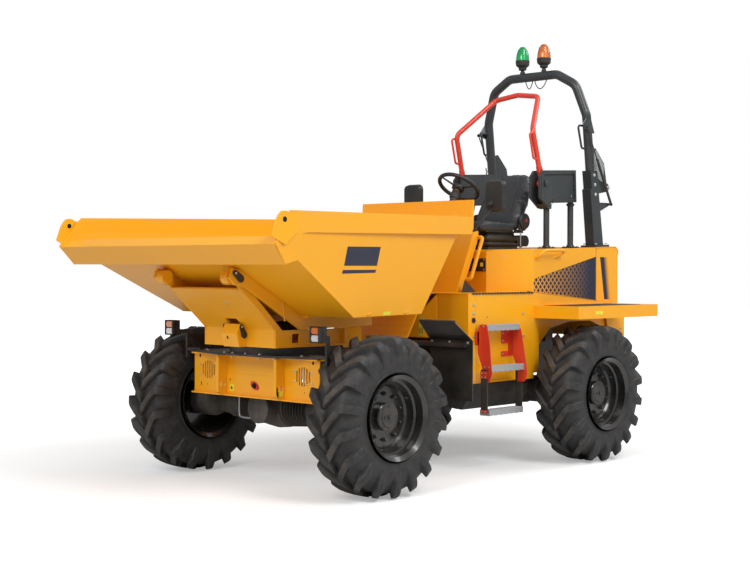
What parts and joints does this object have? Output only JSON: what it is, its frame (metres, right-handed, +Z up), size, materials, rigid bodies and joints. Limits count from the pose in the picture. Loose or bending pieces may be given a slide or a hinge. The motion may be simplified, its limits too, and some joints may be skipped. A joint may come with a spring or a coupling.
{
  "type": "articulated site dumper",
  "caption": "Articulated site dumper with a swivelling front tipping skip, driver's seat, folding roll-over hoop and lugged tyres.",
  "frame": {"origin": "on the ground, under the middle of the overall length, on the centre line", "axes": "+X forward, +Y to the driver's left, +Z up"},
  "size_m": [4.5, 2.244, 3.425],
  "materials": {
    "yellow_paint": "gloss",
    "black_paint": "satin",
    "charcoal_paint": "semi-gloss",
    "red_paint": "gloss",
    "tyre_rubber": "matt",
    "rubber": "matt",
    "galvanised": "dull",
    "machined_steel": "polished",
    "cast_grey": "rough",
    "seat_vinyl": "grained",
    "black_plastic": "matt",
    "lamp_lens": "clear",
    "green_lens": "clear",
    "amber_lens": "clear"
  },
  "bodies": {
    "rear_frame": {"console": "yellow_paint", "engine_block": "cast_grey", "engine_cover": "yellow_paint", "fenders": "yellow_paint", "footplate": "yellow_paint", "grab_handles": "yellow_paint", "guard_boxes": "charcoal_paint", "mirrors": "black_plastic", "rear_axle": "cast_grey", "rear_body": "yellow_paint", "rear_chassis": "black_paint", "rear_cowl": "yellow_paint", "rear_lamps": "lamp_lens", "rops_lower": "charcoal_paint", "seat_back": "seat_vinyl", "seat_base": "black_plastic", "seat_cushion": "seat_vinyl", "side_boxes": "yellow_paint", "step_rails": "red_paint", "step_straps": "rubber", "step_treads": "galvanised"},
    "front_frame": {"front_chassis": "black_paint", "front_axle": "cast_grey", "front_bumper": "yellow_paint", "front_lamps": "lamp_lens", "slew_deck": "black_paint", "mudflaps": "rubber"},
    "turret": {"turret": "yellow_paint"},
    "tip_barrel": {"tip_ram_barrel": "black_paint"},
    "tip_rod": {"tip_ram_rod": "machined_steel"},
    "skip": {"skip_tub": "yellow_paint", "skip_rails": "yellow_paint"},
    "wheel_front_left": {"tyre_front_left": "tyre_rubber", "rim_front_left": "black_paint"},
    "wheel_front_right": {"tyre_front_right": "tyre_rubber", "rim_front_right": "black_paint"},
    "wheel_rear_left": {"tyre_rear_left": "tyre_rubber", "rim_rear_left": "black_paint"},
    "wheel_rear_right": {"tyre_rear_right": "tyre_rubber", "rim_rear_right": "black_paint"},
    "steering_wheel": {"steering_wheel": "black_plastic"},
    "guard_bar": {"guard_bar": "red_paint"},
    "hoop": {"rops_upper": "charcoal_paint", "beacon_amber": "amber_lens", "beacon_green": "green_lens"},
    "strut_barrels": {"strut_barrels": "black_paint"},
    "strut_rods": {"strut_rods": "machined_steel"},
    "steer_barrel": {"steer_ram_barrel": "black_paint"},
    "steer_rod": {"steer_ram_rod": "machined_steel"}
  },
  "joints": [
    {"name": "articulation", "type": "hinge", "parent": "rear_frame", "child": "front_frame", "pos_m": [0.03, 0, 0.76], "axis": [0, 0, 1], "range_deg": [-30, 30]},
    {"name": "skip_swivel", "type": "hinge", "parent": "front_frame", "child": "turret", "pos_m": [1.11, 0, 0.95], "axis": [0, 0, 1], "range_deg": [-90, 90]},
    {"name": "skip_tip", "type": "hinge", "parent": "turret", "child": "skip", "pos_m": [1.933, 0, 1.44], "axis": [0, 1, 0], "range_deg": [0, 55]},
    {"name": "tip_barrel_turn", "type": "hinge", "parent": "turret", "child": "tip_barrel", "pos_m": [1.57, 0, 1.05], "axis": [0, 1, 0], "range_deg": [0, 60.1]},
    {"name": "tip_rod_slide", "type": "slide", "parent": "tip_barrel", "child": "tip_rod", "axis": [-0.9958, 0, 0.0915], "range_m": [0, 0.492]},
    {"name": "steering_wheel_turn", "type": "hinge", "parent": "rear_frame", "child": "steering_wheel", "pos_m": [-0.774, 0, 2.14], "axis": [-0.5736, 0, 0.8192], "continuous": true},
    {"name": "guard_bar_tilt", "type": "hinge", "parent": "rear_frame", "child": "guard_bar", "pos_m": [-1.36, 0, 2.2], "axis": [0, 1, 0], "range_deg": [0, 78]},
    {"name": "rops_fold", "type": "hinge", "parent": "rear_frame", "child": "hoop", "pos_m": [-2.1, 0, 2.195], "axis": [0, 1, 0], "range_deg": [-110, 0]},
    {"name": "strut_turn", "type": "hinge", "parent": "rear_frame", "child": "strut_barrels", "pos_m": [-2.125, 0, 2.053], "axis": [0, 1, 0], "range_deg": [-92.9, 0]},
    {"name": "strut_slide", "type": "slide", "parent": "strut_barrels", "child": "strut_rods", "axis": [0.5007, 0, 0.8656], "range_m": [-0.107, 0]},
    {"name": "steer_barrel_turn", "type": "hinge", "parent": "rear_frame", "child": "steer_barrel", "pos_m": [-0.42, 0.18, 0.56], "axis": [0, 0, 1], "range_deg": [-11.2, 11.2]},
    {"name": "steer_rod_slide", "type": "slide", "parent": "steer_barrel", "child": "steer_rod", "axis": [0.9996, 0.0294, 0], "range_m": [-0.103, 0.103]},
    {"name": "wheel_front_left_spin", "type": "hinge", "parent": "front_frame", "child": "wheel_front_left", "pos_m": [1.151, 0.931, 0.532], "axis": [0, 1, 0], "continuous": true},
    {"name": "wheel_front_right_spin", "type": "hinge", "parent": "front_frame", "child": "wheel_front_right", "pos_m": [1.151, -0.931, 0.532], "axis": [0, 1, 0], "continuous": true},
    {"name": "wheel_rear_left_spin", "type": "hinge", "parent": "rear_frame", "child": "wheel_rear_left", "pos_m": [-1.291, 0.931, 0.532], "axis": [0, 1, 0], "continuous": true},
    {"name": "wheel_rear_right_spin", "type": "hinge", "parent": "rear_frame", "child": "wheel_rear_right", "pos_m": [-1.291, -0.931, 0.532], "axis": [0, 1, 0], "continuous": true}
  ],
  "couplings": [
    {"joint": "tip_barrel_turn", "follows": "skip_tip", "ratio": 1.0738},
    {"joint": "tip_rod_slide", "follows": "skip_tip", "m_per_rad": 0.50769},
    {"joint": "strut_turn", "follows": "rops_fold", "ratio": 0.83577},
    {"joint": "strut_slide", "follows": "rops_fold", "m_per_rad": 0.05443},
    {"joint": "steer_barrel_turn", "follows": "articulation", "ratio": 0.33966},
    {"joint": "steer_rod_slide", "follows": "articulation", "m_per_rad": -0.1903}
  ]
}
